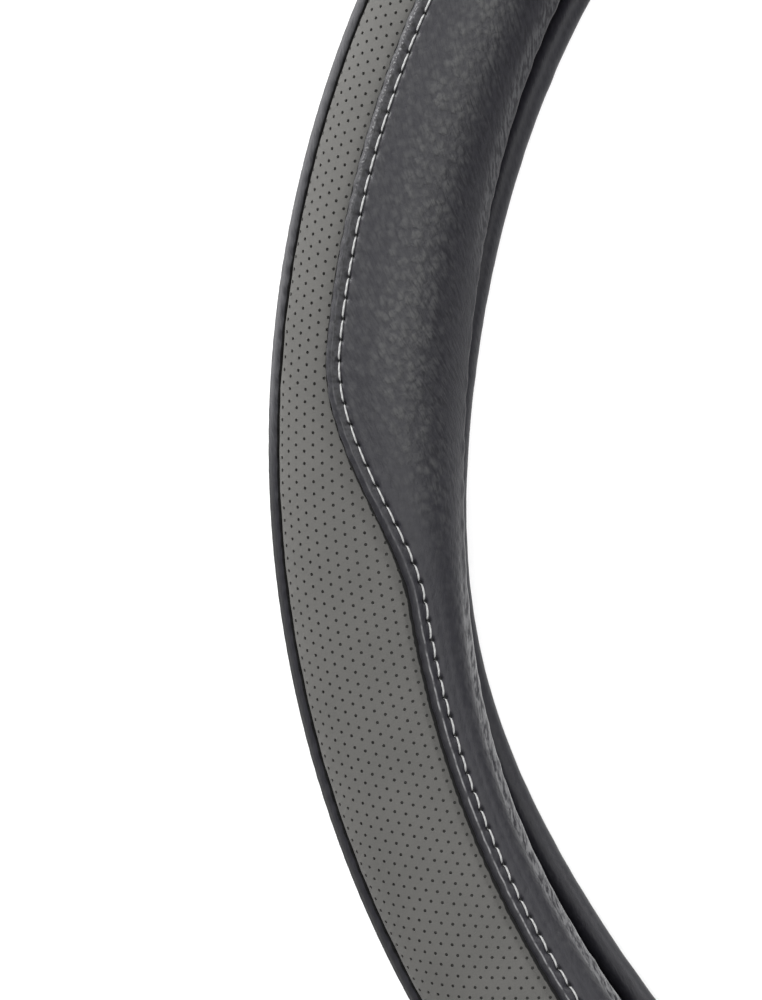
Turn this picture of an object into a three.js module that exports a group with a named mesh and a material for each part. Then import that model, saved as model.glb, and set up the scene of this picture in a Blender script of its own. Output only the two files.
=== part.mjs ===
// Steering wheel cover: a stitched leather sleeve glued over a moulded rubber ring of C section.
// Millimetres, +Z up. The cover lies on its back, face up, and the origin is at its foot on the ring's axis.
// +Y is the 12 o'clock side. Angles are read from the 9 and 3 o'clock line, positive towards 12 o'clock.
import * as THREE from "three";

// Sizes over the whole cover
const OUTER_RADIUS = 190;
const SECTION_WIDTH = 34.7;
const SECTION_DEPTH = 30;
const SECTION_SQUARENESS = 2.5;
const REST_SETTLE = 0.35;

// Layers, from the skin inwards
const LEATHER = 1.1;
const GLUE_LINE = 0.4;
const CORE_WALL = 1.6;
const SEAM_GAP = 0.3;

// Seams on the skin, measured round the section from the outermost line of the ring
const OUTER_SEAM = 10.4;
const DITCH = 0.6;
const GREY_BAND_ABOVE = 10.4;
const BLACK_BAND_BELOW = 7.9;
const SWEEP_FROM = 5;
const SWEEP_TO = -9.3;

// Folded and topstitched hem of the black front panel, lapped over the grey panel
const HEM_RISE = 1.2;
const HEM_ROUND = 0.5;
const LAP = 4;
const STITCH_INSET = 2.2;
const THREAD = 0.7;
const GROOVE_DEPTH = 0.5;
const PAD_RISE = 1.2;

// Mouth of the C: how far each lip stays from the innermost line of the ring
const FRONT_MOUTH = 12;
const SPOKE_SWELL = 4.8;
const SPOKE_SWELL_AT = 4;
const SPOKE_SWELL_SPREAD = 17;
const WAIST = 1.5;
const WAIST_AT = -19;
const WAIST_SPREAD = 13;
const BACK_MOUTH = 4.3;
const BACK_RELIEF = 10.3;
const BACK_RELIEF_AT = -12.6;
const BACK_RELIEF_SPREAD = 21;
const TURN_IN = 5;

// Facets: rows along half the ring, closer together where the seam sweeps across, and along the section
const ROWS_ABOVE = 10;
const ROWS_SWEEP = 8;
const ROWS_BELOW = 9;
const ROWS_TOP_END = 8;
const ROWS_LOW_END = -12;
const CORE_PITCH = 9;
const SKIN_PITCH = 4.5;
const ARC_STEPS = 2;
const THREAD_SIDES = 5;
const SAME_POINT = 0.001;

const RING_RADIUS = OUTER_RADIUS - SECTION_WIDTH / 2;
const CENTRE_HEIGHT = SECTION_DEPTH / 2 - REST_SETTLE;
const LIP_RADIUS = LEATHER + GLUE_LINE + CORE_WALL / 2;
const HEM_FOOT = SEAM_GAP;
const HEM_TOP = HEM_FOOT + HEM_RISE;
const HALF_ROWS = ROWS_ABOVE + ROWS_SWEEP + ROWS_BELOW;
const STRAIGHT = CORE_PITCH * 3;
const REFERENCE_LIP = CORE_PITCH * 5;

// The closed outline of the section: a superellipse, run from its outermost point towards the front.
class RimSection extends THREE.Curve {
  constructor() {
    super();
    this.arcLengthDivisions = 720;
  }

  getPoint(share, target = new THREE.Vector3()) {
    const normal = 2 * Math.PI * share;
    const across = (SECTION_WIDTH / 2) * Math.cos(normal);
    const along = (SECTION_DEPTH / 2) * Math.sin(normal);
    const power = 1 / (SECTION_SQUARENESS - 1);
    const sum = Math.abs(across) ** (power + 1) + Math.abs(along) ** (power + 1);
    const scale = sum ** (1 / SECTION_SQUARENESS);
    const x = (SECTION_WIDTH / 2) * Math.sign(across) * (Math.abs(across) ** power / scale);
    const y = (SECTION_DEPTH / 2) * Math.sign(along) * (Math.abs(along) ** power / scale);
    return target.set(x, y, 0);
  }
}

const section = new RimSection();
const PERIMETER = section.getLength();

// A bell of height one, used to swell and draw in the lips.
function bell(angle, middle, spread) {
  return Math.exp(-(((angle - middle) / spread) ** 2));
}

// How far the seam has swept from its upper place to its lower one, nought to one.
function sweep(angle) {
  return THREE.MathUtils.smoothstep(-angle, -SWEEP_FROM, -SWEEP_TO);
}

function frontLip(angle) {
  const swell = SPOKE_SWELL * bell(angle, SPOKE_SWELL_AT, SPOKE_SWELL_SPREAD);
  const waist = WAIST * bell(angle, WAIST_AT, WAIST_SPREAD);
  return PERIMETER / 2 - FRONT_MOUTH + swell - waist;
}

function backLip(angle) {
  const relief = BACK_RELIEF * bell(angle, BACK_RELIEF_AT, BACK_RELIEF_SPREAD);
  return -(PERIMETER / 2 - BACK_MOUTH - relief);
}

// The folded edge of the black front panel.
function foldLine(angle) {
  const above = OUTER_SEAM + GREY_BAND_ABOVE;
  const below = PERIMETER / 2 - FRONT_MOUTH - BLACK_BAND_BELOW;
  return THREE.MathUtils.lerp(above, below, sweep(angle));
}

// Widths across the hem are square to the fold, so they lengthen where the fold runs aslant.
function hemStretch(angle) {
  const slope = (foldLine(angle + 0.5) - foldLine(angle - 0.5)) / (RING_RADIUS * THREE.MathUtils.DEG2RAD);
  return Math.hypot(1, slope);
}

// Places x, a distance on the flat pattern, round the section by straight stretches between anchors.
function spread(x, anchors) {
  const last = anchors.length - 1;
  if (x <= anchors[0][0]) return anchors[0][1] + x - anchors[0][0];
  if (x >= anchors[last][0]) return anchors[last][1] + x - anchors[last][0];
  const next = anchors.findIndex(([from]) => from >= x);
  const [x0, t0] = anchors[next - 1];
  const [x1, t1] = anchors[next];
  return t0 + ((x - x0) / (x1 - x0)) * (t1 - t0);
}

// A point of the section: around is the way round it, lift the height over it, past a straight overhang.
function onSection({ around, lift, past }) {
  const share = THREE.MathUtils.euclideanModulo(around / PERIMETER, 1);
  const point = section.getPointAt(share);
  const tangent = section.getTangentAt(share);
  const x = point.x + lift * tangent.y + past * tangent.x;
  const y = point.y - lift * tangent.x + past * tangent.y;
  return new THREE.Vector2(x, y);
}

// The same point on the ring, at an angle along one of its halves.
function onRing(spot, angle, side) {
  const { x, y } = onSection(spot);
  const out = RING_RADIUS + x;
  const turn = angle * THREE.MathUtils.DEG2RAD;
  return [side * out * Math.cos(turn), out * Math.sin(turn), Math.max(0, CENTRE_HEIGHT + y)];
}

// The angle of each row on half the ring, from 12 o'clock down to 6 o'clock.
function rowAngle(row, seamHalf) {
  const top = 90 - seamHalf;
  if (row <= ROWS_ABOVE) return THREE.MathUtils.lerp(top, ROWS_TOP_END, row / ROWS_ABOVE);
  const swept = row - ROWS_ABOVE;
  if (swept <= ROWS_SWEEP) return THREE.MathUtils.lerp(ROWS_TOP_END, ROWS_LOW_END, swept / ROWS_SWEEP);
  return THREE.MathUtils.lerp(ROWS_LOW_END, -top, (swept - ROWS_SWEEP) / ROWS_BELOW);
}

// Lays a flat section outline along one half of the ring. The outline is bent round the section before it
// is extruded, as at the larger of its two ends, so that the end faces at the butt seams follow the C.
function halfRing(outline, place, side) {
  const seamHalf = ((SEAM_GAP / 2) * THREE.MathUtils.RAD2DEG) / (RING_RADIUS - SECTION_WIDTH / 2);
  const top = rowAngle(0, seamHalf);
  const flat = outline.getPoints(ARC_STEPS);
  const ends = [-top, top].map((angle) => flat.map(({ x, y }) => onSection(place(x, y, angle))));
  const [lowFace, highFace] = ends.map((points) => Math.abs(THREE.ShapeUtils.area(points)));
  const bent = lowFace > highFace ? ends[0] : ends[1];
  const options = { depth: 1, steps: HALF_ROWS, bevelEnabled: false };
  const geometry = new THREE.ExtrudeGeometry(new THREE.Shape(bent), options);
  const position = geometry.attributes.position;
  for (let i = 0; i < position.count; i += 1) {
    const spot = new THREE.Vector2(position.getX(i), position.getY(i));
    const { x, y } = flat[bent.findIndex((point) => point.distanceTo(spot) < SAME_POINT)];
    const step = Math.round(position.getZ(i) * HALF_ROWS);
    const angle = rowAngle(side < 0 ? HALF_ROWS - step : step, seamHalf);
    position.setXYZ(i, ...onRing(place(x, y, angle), angle, side));
  }
  return finished(geometry);
}

// Lays a flat section outline along the whole ring, in one piece.
function wholeRing(outline, place) {
  const points = outline.getPoints(ARC_STEPS).reverse();
  points[points.length - 1] = points[0].clone();
  const geometry = new THREE.LatheGeometry(points, HALF_ROWS * 2);
  const position = geometry.attributes.position;
  for (let i = 0; i < position.count; i += 1) {
    const step = Math.floor(i / points.length) % (HALF_ROWS * 2);
    const side = step <= HALF_ROWS ? -1 : 1;
    const angle = rowAngle(step <= HALF_ROWS ? step : HALF_ROWS * 2 - step, 0);
    const flat = points[i % points.length];
    position.setXYZ(i, ...onRing(place(flat.x, flat.y, angle), angle, side));
  }
  return finished(geometry);
}

function finished(geometry) {
  geometry.deleteAttribute("uv");
  geometry.computeVertexNormals();
  return geometry;
}

// Adds equal steps of a straight run to an outline, leaving out the point it starts from.
function runTo(shape, x, y, steps) {
  const from = shape.currentPoint.clone();
  for (let i = 1; i <= steps; i += 1) {
    const share = i / steps;
    shape.lineTo(THREE.MathUtils.lerp(from.x, x, share), THREE.MathUtils.lerp(from.y, y, share));
  }
}

// The moulded ring: a C from the back lip round the outside to the front lip, with round edges.
function coreOutline() {
  const middle = -LIP_RADIUS;
  const half = CORE_WALL / 2;
  const steps = Math.round((2 * REFERENCE_LIP) / CORE_PITCH);
  const shape = new THREE.Shape();
  shape.moveTo(REFERENCE_LIP, middle + half);
  runTo(shape, -REFERENCE_LIP, middle + half, steps);
  shape.absarc(-REFERENCE_LIP, middle, half, Math.PI / 2, (Math.PI * 3) / 2, false);
  const tucked = REFERENCE_LIP - CORE_PITCH;
  runTo(shape, -tucked, middle - half, 2);
  runTo(shape, tucked, middle - half, steps - 2);
  runTo(shape, REFERENCE_LIP, middle - half, 2);
  shape.absarc(REFERENCE_LIP, middle, half, -Math.PI / 2, Math.PI / 2, false);
  return shape;
}

function placeCore(x, lift, angle) {
  const past = Math.sign(x) * Math.max(0, Math.abs(x) - REFERENCE_LIP);
  const anchors = [
    [-REFERENCE_LIP, backLip(angle)],
    [-STRAIGHT, -STRAIGHT],
    [STRAIGHT, STRAIGHT],
    [REFERENCE_LIP, frontLip(angle)],
  ];
  return { around: spread(x - past, anchors), lift, past };
}

// The back panel: from the outer seam round the outside and the back, over the back lip and turned in.
function backOutline() {
  const edge = OUTER_SEAM - SEAM_GAP / 2;
  const inner = -LEATHER;
  const coreRuns = Math.round((REFERENCE_LIP - STRAIGHT) / CORE_PITCH);
  const shape = new THREE.Shape();
  shape.moveTo(edge, -DITCH);
  shape.lineTo(edge - DITCH, 0);
  const flatRun = STRAIGHT + edge - DITCH;
  runTo(shape, -STRAIGHT, 0, Math.round(flatRun / SKIN_PITCH));
  runTo(shape, -REFERENCE_LIP, 0, coreRuns + 1);
  shape.absarc(-REFERENCE_LIP, -LIP_RADIUS, LIP_RADIUS, Math.PI / 2, (Math.PI * 3) / 2, false);
  shape.lineTo(TURN_IN - REFERENCE_LIP, -2 * LIP_RADIUS);
  shape.lineTo(TURN_IN - REFERENCE_LIP, -2 * LIP_RADIUS + LEATHER);
  shape.absarc(-REFERENCE_LIP, -LIP_RADIUS, LIP_RADIUS - LEATHER, (Math.PI * 3) / 2, Math.PI / 2, true);
  runTo(shape, -STRAIGHT, inner, coreRuns);
  runTo(shape, CORE_PITCH, inner, Math.round((STRAIGHT + CORE_PITCH) / CORE_PITCH));
  shape.lineTo(edge, inner);
  return shape;
}

function placeBack(x, lift, angle) {
  const past = Math.min(0, x + REFERENCE_LIP);
  if (lift < -LIP_RADIUS) return { around: backLip(angle) + x + REFERENCE_LIP - past, lift, past };
  const anchors = [
    [-REFERENCE_LIP, backLip(angle)],
    [-STRAIGHT, -STRAIGHT],
    [OUTER_SEAM, OUTER_SEAM],
  ];
  return { around: spread(x - past, anchors), lift, past };
}

// The grey panel: from the outer seam to under the hem of the front panel.
const GREY_REFERENCE = GREY_BAND_ABOVE + LAP - SEAM_GAP * 1.5;

function greyOutline() {
  const steps = 5;
  const shape = new THREE.Shape();
  shape.moveTo(0, -LEATHER);
  runTo(shape, GREY_REFERENCE, -LEATHER, steps);
  shape.lineTo(GREY_REFERENCE, 0);
  runTo(shape, DITCH, 0, steps);
  shape.lineTo(0, -DITCH);
  return shape;
}

function placeGrey(x, lift, angle) {
  const end = foldLine(angle) + (LAP - SEAM_GAP) * hemStretch(angle);
  const anchors = [
    [0, OUTER_SEAM + SEAM_GAP / 2],
    [DITCH, OUTER_SEAM + SEAM_GAP / 2 + DITCH],
    [GREY_REFERENCE, end],
  ];
  return { around: spread(x, anchors), lift, past: 0 };
}

// The front panel: its folded hem lies on the grey panel, and it wraps the front lip and turns in.
const FRONT_REFERENCE = 22;

function frontOutline() {
  const steps = 4;
  const grooveHalf = THREAD / 2 + SEAM_GAP;
  const shape = new THREE.Shape();
  shape.moveTo(0, HEM_FOOT);
  shape.lineTo(LAP, HEM_FOOT);
  shape.lineTo(LAP, -LEATHER);
  runTo(shape, FRONT_REFERENCE, -LEATHER, steps);
  shape.absarc(FRONT_REFERENCE, -LIP_RADIUS, LIP_RADIUS - LEATHER, Math.PI / 2, -Math.PI / 2, true);
  shape.lineTo(FRONT_REFERENCE - TURN_IN, -2 * LIP_RADIUS + LEATHER);
  shape.lineTo(FRONT_REFERENCE - TURN_IN, -2 * LIP_RADIUS);
  shape.absarc(FRONT_REFERENCE, -LIP_RADIUS, LIP_RADIUS, -Math.PI / 2, Math.PI / 2, false);
  for (let i = 1; i <= steps; i += 1) {
    const share = 1 - i / steps;
    shape.lineTo(THREE.MathUtils.lerp(LAP, FRONT_REFERENCE, share), HEM_TOP * (1 - share));
  }
  shape.lineTo(STITCH_INSET + grooveHalf, HEM_TOP);
  shape.lineTo(STITCH_INSET + grooveHalf, HEM_TOP - GROOVE_DEPTH);
  shape.lineTo(STITCH_INSET - grooveHalf, HEM_TOP - GROOVE_DEPTH);
  shape.lineTo(STITCH_INSET - grooveHalf, HEM_TOP);
  shape.lineTo(HEM_ROUND, HEM_TOP);
  shape.lineTo(0, HEM_TOP - HEM_ROUND);
  return shape;
}

function placeFront(x, lift, angle) {
  const past = Math.max(0, x - FRONT_REFERENCE);
  const lip = frontLip(angle);
  if (lift < -LIP_RADIUS) return { around: lip + x - past - FRONT_REFERENCE, lift, past };
  const fold = foldLine(angle);
  const hem = LAP * hemStretch(angle);
  const anchors = [
    [0, fold],
    [LAP, fold + hem],
    [FRONT_REFERENCE, lip],
  ];
  const inward = THREE.MathUtils.clamp((x - LAP) / (FRONT_REFERENCE - LAP), 0, 1);
  const raised = lift >= 0 ? PAD_RISE * Math.sin(Math.PI * inward) * (1 - sweep(angle)) : 0;
  return { around: spread(x - past, anchors), lift: lift + raised, past };
}

// The topstitch thread, lying in its groove along the hem.
function threadOutline() {
  const middle = HEM_TOP - GROOVE_DEPTH + SEAM_GAP + THREAD / 2;
  const shape = new THREE.Shape();
  for (let i = 0; i < THREAD_SIDES; i += 1) {
    const turn = (2 * Math.PI * i) / THREAD_SIDES - Math.PI / 2;
    const x = STITCH_INSET + (THREAD / 2) * Math.cos(turn);
    const y = middle + (THREAD / 2) * Math.sin(turn);
    if (i === 0) shape.moveTo(x, y);
    else shape.lineTo(x, y);
  }
  return shape;
}

function placeThread(x, lift, angle) {
  return { around: foldLine(angle) + x * hemStretch(angle), lift, past: 0 };
}

const black = { color: 0x34363a, roughness: 0.55, metalness: 0 };
const grey = { color: 0x6b6b66, roughness: 0.7, metalness: 0 };
const white = { color: 0xd9d5cb, roughness: 0.8, metalness: 0 };
const rubber = { color: 0x1b1b1d, roughness: 0.85, metalness: 0 };

function piece(name, geometry, look) {
  const mesh = new THREE.Mesh(geometry, new THREE.MeshStandardMaterial(look));
  mesh.name = name;
  return mesh;
}

const cover = new THREE.Group();
cover.add(piece("grip_ring", wholeRing(coreOutline(), placeCore), rubber));
for (const [hand, side] of [["left", -1], ["right", 1]]) {
  cover.add(piece(`back_panel_${hand}`, halfRing(backOutline(), placeBack, side), black));
  cover.add(piece(`perforated_panel_${hand}`, halfRing(greyOutline(), placeGrey, side), grey));
  cover.add(piece(`front_panel_${hand}`, halfRing(frontOutline(), placeFront, side), black));
  cover.add(piece(`topstitch_${hand}`, halfRing(threadOutline(), placeThread, side), white));
}

export default cover;
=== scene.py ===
"""Steering wheel cover: a sewn leather sleeve over a moulded rubber ring, lying on its back.

Each panel starts as a flat pattern, a grid with x across the panel, y along half the ring and z as
height over the skin. The seams, the stitches and the folds are put into that flat pattern, and the
pattern is then laid round the rim. All sizes are in metres, and angles along the ring are in
degrees from the 9 and 3 o'clock line, positive towards 12 o'clock.
"""

import logging
import math
from dataclasses import dataclass, field
from enum import Enum
from functools import cached_property

import bmesh
import bpy
import numpy as np
from bpy.types import Material, Mesh, Node, NodeSocket, NodeTree, Object
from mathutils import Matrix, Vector


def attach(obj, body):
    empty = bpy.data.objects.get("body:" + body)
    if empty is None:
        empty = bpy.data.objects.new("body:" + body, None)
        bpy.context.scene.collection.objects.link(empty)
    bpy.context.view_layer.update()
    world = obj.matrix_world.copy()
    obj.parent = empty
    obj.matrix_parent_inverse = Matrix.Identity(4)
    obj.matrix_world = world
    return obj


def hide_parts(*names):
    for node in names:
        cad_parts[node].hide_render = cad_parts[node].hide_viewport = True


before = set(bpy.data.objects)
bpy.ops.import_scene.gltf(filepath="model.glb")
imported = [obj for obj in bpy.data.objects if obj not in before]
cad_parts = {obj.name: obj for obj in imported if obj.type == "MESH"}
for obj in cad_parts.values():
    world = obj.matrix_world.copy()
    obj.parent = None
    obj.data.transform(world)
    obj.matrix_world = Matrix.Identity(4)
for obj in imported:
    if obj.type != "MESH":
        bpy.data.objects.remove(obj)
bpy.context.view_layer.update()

MM = 0.001
FULL_TURN = 2.0 * math.pi
MERGE = 1e-6
LOG = logging.getLogger("cover")
Array = np.ndarray
Colour = tuple[float, float, float, float]


class Hand(Enum):
    """The two halves of the ring, by the sign of their X."""

    LEFT = -1
    RIGHT = 1

    @property
    def word(self) -> str:
        """The word that ends the names of this half's pieces."""
        return self.name.lower()

    def seed(self, first: int) -> int:
        """The number that fixes a random pattern, one for each half."""
        return first + int(self is Hand.RIGHT)


def bell(value: Array, middle: float, spread: float) -> Array:
    """A bell of height one about a middle."""
    return np.exp(-(((value - middle) / spread) ** 2))


def ease(share: Array) -> Array:
    """A smooth step from nought to one."""
    held = np.clip(share, 0.0, 1.0)
    return held * held * (3.0 - 2.0 * held)


def ripple(
    along: Array, seed: int, length: float, across: Array | float = 0.0, slant: float = 0.0
) -> Array:
    """Irregular wrinkles that run mainly across the panel.

    Args:
        along: distance along the ring.
        seed: number that fixes the pattern.
        length: usual distance from wrinkle to wrinkle.
        across: distance across the panel.
        slant: most that a wrinkle leans, as along per across.

    Returns:
        Heights of about minus two to two.
    """
    rng = np.random.default_rng(seed)
    waves = 9
    shortest, longest = 0.55, 1.9
    total = np.zeros_like(along)
    for _ in range(waves):
        pitch = length * rng.uniform(shortest, longest)
        lean = slant * rng.uniform(-1.0, 1.0)
        total += np.cos(FULL_TURN * ((along + lean * across) / pitch + rng.uniform()))
    return total * math.sqrt(2.0 / waves)


@dataclass
class Rim:
    """The ring of the cover and the superellipse of its section."""

    outer_radius: float = 190.0 * MM
    width: float = 34.7 * MM
    depth: float = 30.0 * MM
    squareness: float = 2.5
    settle: float = 0.35 * MM
    table_steps: int = 1440

    @property
    def ring_radius(self) -> float:
        """Radius of the circle through the middle of the section."""
        return self.outer_radius - self.width / 2.0

    @property
    def centre_height(self) -> float:
        """Height of the middle of the section over the floor."""
        return self.depth / 2.0 - self.settle

    @cached_property
    def table(self) -> tuple[Array, Array, Array, Array]:
        """Way round, place out, place up and normal angle, all round the section.

        Returns:
            Four arrays of one value a step.
        """
        normal = np.linspace(0.0, FULL_TURN, self.table_steps + 1)
        across = self.width / 2.0 * np.cos(normal)
        along = self.depth / 2.0 * np.sin(normal)
        power = 1.0 / (self.squareness - 1.0)
        total = np.abs(across) ** (power + 1.0) + np.abs(along) ** (power + 1.0)
        scale = total ** (1.0 / self.squareness)
        out = self.width / 2.0 * np.sign(across) * np.abs(across) ** power / scale
        up = self.depth / 2.0 * np.sign(along) * np.abs(along) ** power / scale
        steps = np.hypot(np.diff(out), np.diff(up))
        return np.concatenate([[0.0], np.cumsum(steps)]), out, up, normal

    @property
    def perimeter(self) -> float:
        """Length once round the section."""
        return float(self.table[0][-1])

    def lay(self, around: Array, lift: Array, past: Array, angle: Array, hand: Hand) -> Array:
        """Places points on the ring.

        Args:
            around: way round the section from its outermost point, positive over the front.
            lift: height over the skin.
            past: straight overhang in the direction in which around grows.
            angle: angle along the ring.
            hand: half of the ring.

        Returns:
            An array of three coordinates for each point.
        """
        way, out, up, normal = self.table
        share = np.mod(around, self.perimeter)
        turn = np.interp(share, way, normal)
        radius = np.interp(share, way, out) + lift * np.cos(turn) - past * np.sin(turn)
        height = np.interp(share, way, up) + lift * np.sin(turn) + past * np.cos(turn)
        radius += self.ring_radius
        bend = np.radians(angle)
        high = np.maximum(self.centre_height + height, 0.0)
        return np.stack([hand.value * radius * np.cos(bend), radius * np.sin(bend), high], axis=1)


@dataclass
class Seams:
    """Where the seams and the lips run, as ways round the section."""

    rim: Rim
    leather: float = 1.1 * MM
    glue_line: float = 0.4 * MM
    core_wall: float = 1.6 * MM
    gap: float = 0.3 * MM
    outer_seam: float = 10.4 * MM
    grey_band_above: float = 10.4 * MM
    black_band_below: float = 7.9 * MM
    sweep_from: float = 5.0
    sweep_to: float = -9.3
    lap: float = 4.0 * MM
    hem_rise: float = 1.2 * MM
    front_mouth: float = 12.0 * MM
    grip_swell: float = 4.8 * MM
    grip_swell_at: float = 4.0
    grip_swell_spread: float = 17.0
    waist: float = 1.5 * MM
    waist_at: float = -19.0
    waist_spread: float = 13.0
    back_mouth: float = 4.3 * MM
    back_relief: float = 10.3 * MM
    back_relief_at: float = -12.6
    back_relief_spread: float = 21.0
    stitch_inset: float = 2.2 * MM
    stitches_per_half: int = 160

    @property
    def lip_radius(self) -> float:
        """Radius of the rounded lips, skin included."""
        return self.leather + self.glue_line + self.core_wall / 2.0

    @property
    def hem_top(self) -> float:
        """Height of the hem over the grey panel."""
        return self.gap + self.hem_rise

    @property
    def stitch_angle(self) -> float:
        """Angle from needle hole to needle hole."""
        return 180.0 / self.stitches_per_half

    def along(self, angle: Array) -> Array:
        """Distance along the ring's middle line."""
        return np.radians(angle) * self.rim.ring_radius

    def sweep(self, angle: Array) -> Array:
        """How far the seam has swept from its upper place to its lower one."""
        return ease((self.sweep_from - angle) / (self.sweep_from - self.sweep_to))

    def wide(self, angle: Array) -> Array:
        """One where the black front panel is wide, above the sweep, and nought where narrow."""
        return 1.0 - self.sweep(angle)

    def front_lip(self, angle: Array) -> Array:
        """Way round to the front lip."""
        swell = self.grip_swell * bell(angle, self.grip_swell_at, self.grip_swell_spread)
        waist = self.waist * bell(angle, self.waist_at, self.waist_spread)
        return self.rim.perimeter / 2.0 - self.front_mouth + (swell - waist)

    def back_lip(self, angle: Array) -> Array:
        """Way round to the back lip, a negative one."""
        relief = self.back_relief * bell(angle, self.back_relief_at, self.back_relief_spread)
        return -(self.rim.perimeter / 2.0 - self.back_mouth - relief)

    def fold(self, angle: Array) -> Array:
        """Way round to the folded edge of the front panel.

        Args:
            angle: angle along the ring.

        Returns:
            The way at each angle.
        """
        above = self.outer_seam + self.grey_band_above
        below = self.rim.perimeter / 2.0 - self.front_mouth - self.black_band_below
        return above + (below - above) * self.sweep(angle)

    def stretch(self, angle: Array) -> Array:
        """How much a width square to the fold lengthens where the fold runs aslant."""
        step = math.radians(1.0) * self.rim.ring_radius
        return np.hypot(1.0, (self.fold(angle + 0.5) - self.fold(angle - 0.5)) / step)

    def needle(self, angle: Array) -> Array:
        """Signed share of a stitch from the nearest needle hole."""
        phase = angle / self.stitch_angle
        return phase - np.round(phase)

    def half_angle(self, y: Array, hand: Hand) -> Array:
        """Angle of a flat pattern's y, which runs from nought to one over half the ring."""
        margin = math.degrees(self.gap / 2.0 / (self.rim.ring_radius - self.rim.width / 2.0))
        return -hand.value * (2.0 * y - 1.0) * (90.0 - margin)


@dataclass
class Outline:
    """A closed section outline: x across the panel, height, and how much it is on the skin."""

    points: list[tuple[float, float, float]] = field(default_factory=list)

    def point(self, x: float, lift: float, skin: float) -> None:
        """Puts down the first point."""
        self.points.append((x, lift, skin))

    def line(self, x: float, lift: float, steps: int, skin: float) -> None:
        """Runs straight on from the last point in equal steps.

        Args:
            x: where the line ends, across the panel.
            lift: height of its end.
            steps: number of points that it adds.
            skin: how much they are on the skin.
        """
        x0, lift0, _ = self.points[-1]
        for i in range(1, steps + 1):
            share = i / steps
            self.points.append((x0 + (x - x0) * share, lift0 + (lift - lift0) * share, skin))

    def arc(
        self, centre: tuple[float, float], radius: float, start: float, end: float, steps: int,
        skin: float,
    ) -> None:
        """Adds an arc, both ends included.

        Args:
            centre: x and height of its centre.
            radius: its radius.
            start: angle of its first point, in degrees.
            end: angle of its last point, in degrees.
            steps: number of steps between them.
            skin: how much its points are on the skin.
        """
        for i in range(steps + 1):
            turn = math.radians(start + (end - start) * i / steps)
            x, lift = centre[0] + radius * math.cos(turn), centre[1] + radius * math.sin(turn)
            self.points.append((x, lift, skin))

    def strip(self, rows: int) -> Mesh:
        """Runs the outline along y from nought to one, with closed ends.

        Args:
            rows: number of steps along y.

        Returns:
            A mesh that holds the flat pattern, with a skin attribute.
        """
        bm = bmesh.new()
        count = len(self.points)
        skin = bm.verts.layers.float.new("skin")
        bmesh.ops.create_grid(bm, x_segments=count, y_segments=rows, size=0.5)
        for i, vert in enumerate(bm.verts):
            x, lift, weight = self.points[i % (count + 1) % count]
            vert.co = (x, (i // (count + 1)) / rows, lift)
            vert[skin] = weight
        bmesh.ops.remove_doubles(bm, verts=bm.verts, dist=1e-7)
        bmesh.ops.holes_fill(bm, edges=[edge for edge in bm.edges if edge.is_boundary])
        bmesh.ops.recalc_face_normals(bm, faces=bm.faces)
        return finished_mesh(bm)


def finished_mesh(bm: bmesh.types.BMesh) -> Mesh:
    """Turns a bmesh into a smooth shaded mesh and frees it.

    Args:
        bm: the bmesh.

    Returns:
        The mesh.
    """
    for face in bm.faces:
        face.smooth = True
    mesh = bpy.data.meshes.new("pattern")
    bm.to_mesh(mesh)
    bm.free()
    return mesh


def flat_points(mesh: Mesh) -> tuple[Array, Array, Array, Array]:
    """Reads a flat pattern's vertices.

    Args:
        mesh: the flat pattern.

    Returns:
        The x, y, height and skin weight of each vertex.
    """
    count = len(mesh.vertices)
    place = np.empty(count * 3)
    mesh.vertices.foreach_get("co", place)
    place = place.reshape(-1, 3)
    skin = np.zeros(count)
    if "skin" in mesh.attributes:
        mesh.attributes["skin"].data.foreach_get("value", skin)
    return place[:, 0].copy(), place[:, 1].copy(), place[:, 2].copy(), skin


def corner_vertices(mesh: Mesh) -> Array:
    """Reads the vertex at each corner of each face.

    Args:
        mesh: any mesh.

    Returns:
        The numbers of the vertices, in the order of the corners.
    """
    corners = np.empty(len(mesh.loops), dtype=np.int32)
    mesh.loops.foreach_get("vertex_index", corners)
    return corners


def add_pattern(mesh: Mesh, across: Array, along: Array, name: str = "pattern") -> None:
    """Adds a UV map that a material follows.

    Args:
        mesh: the panel's mesh.
        across: distance across the panel at each vertex.
        along: distance along the ring at each vertex.
        name: the map's name.
    """
    layer = mesh.uv_layers.new(name=name)
    places = np.stack([across, along], axis=1)[corner_vertices(mesh)]
    layer.uv.foreach_set("vector", places.reshape(-1))


def add_weights(mesh: Mesh, **weights: Array) -> None:
    """Adds numbers for each vertex, which a material reads by the same names."""
    for name, values in weights.items():
        layer = mesh.attributes.new(name, "FLOAT", "POINT")
        layer.data.foreach_set("value", values.astype(np.float32))


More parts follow.
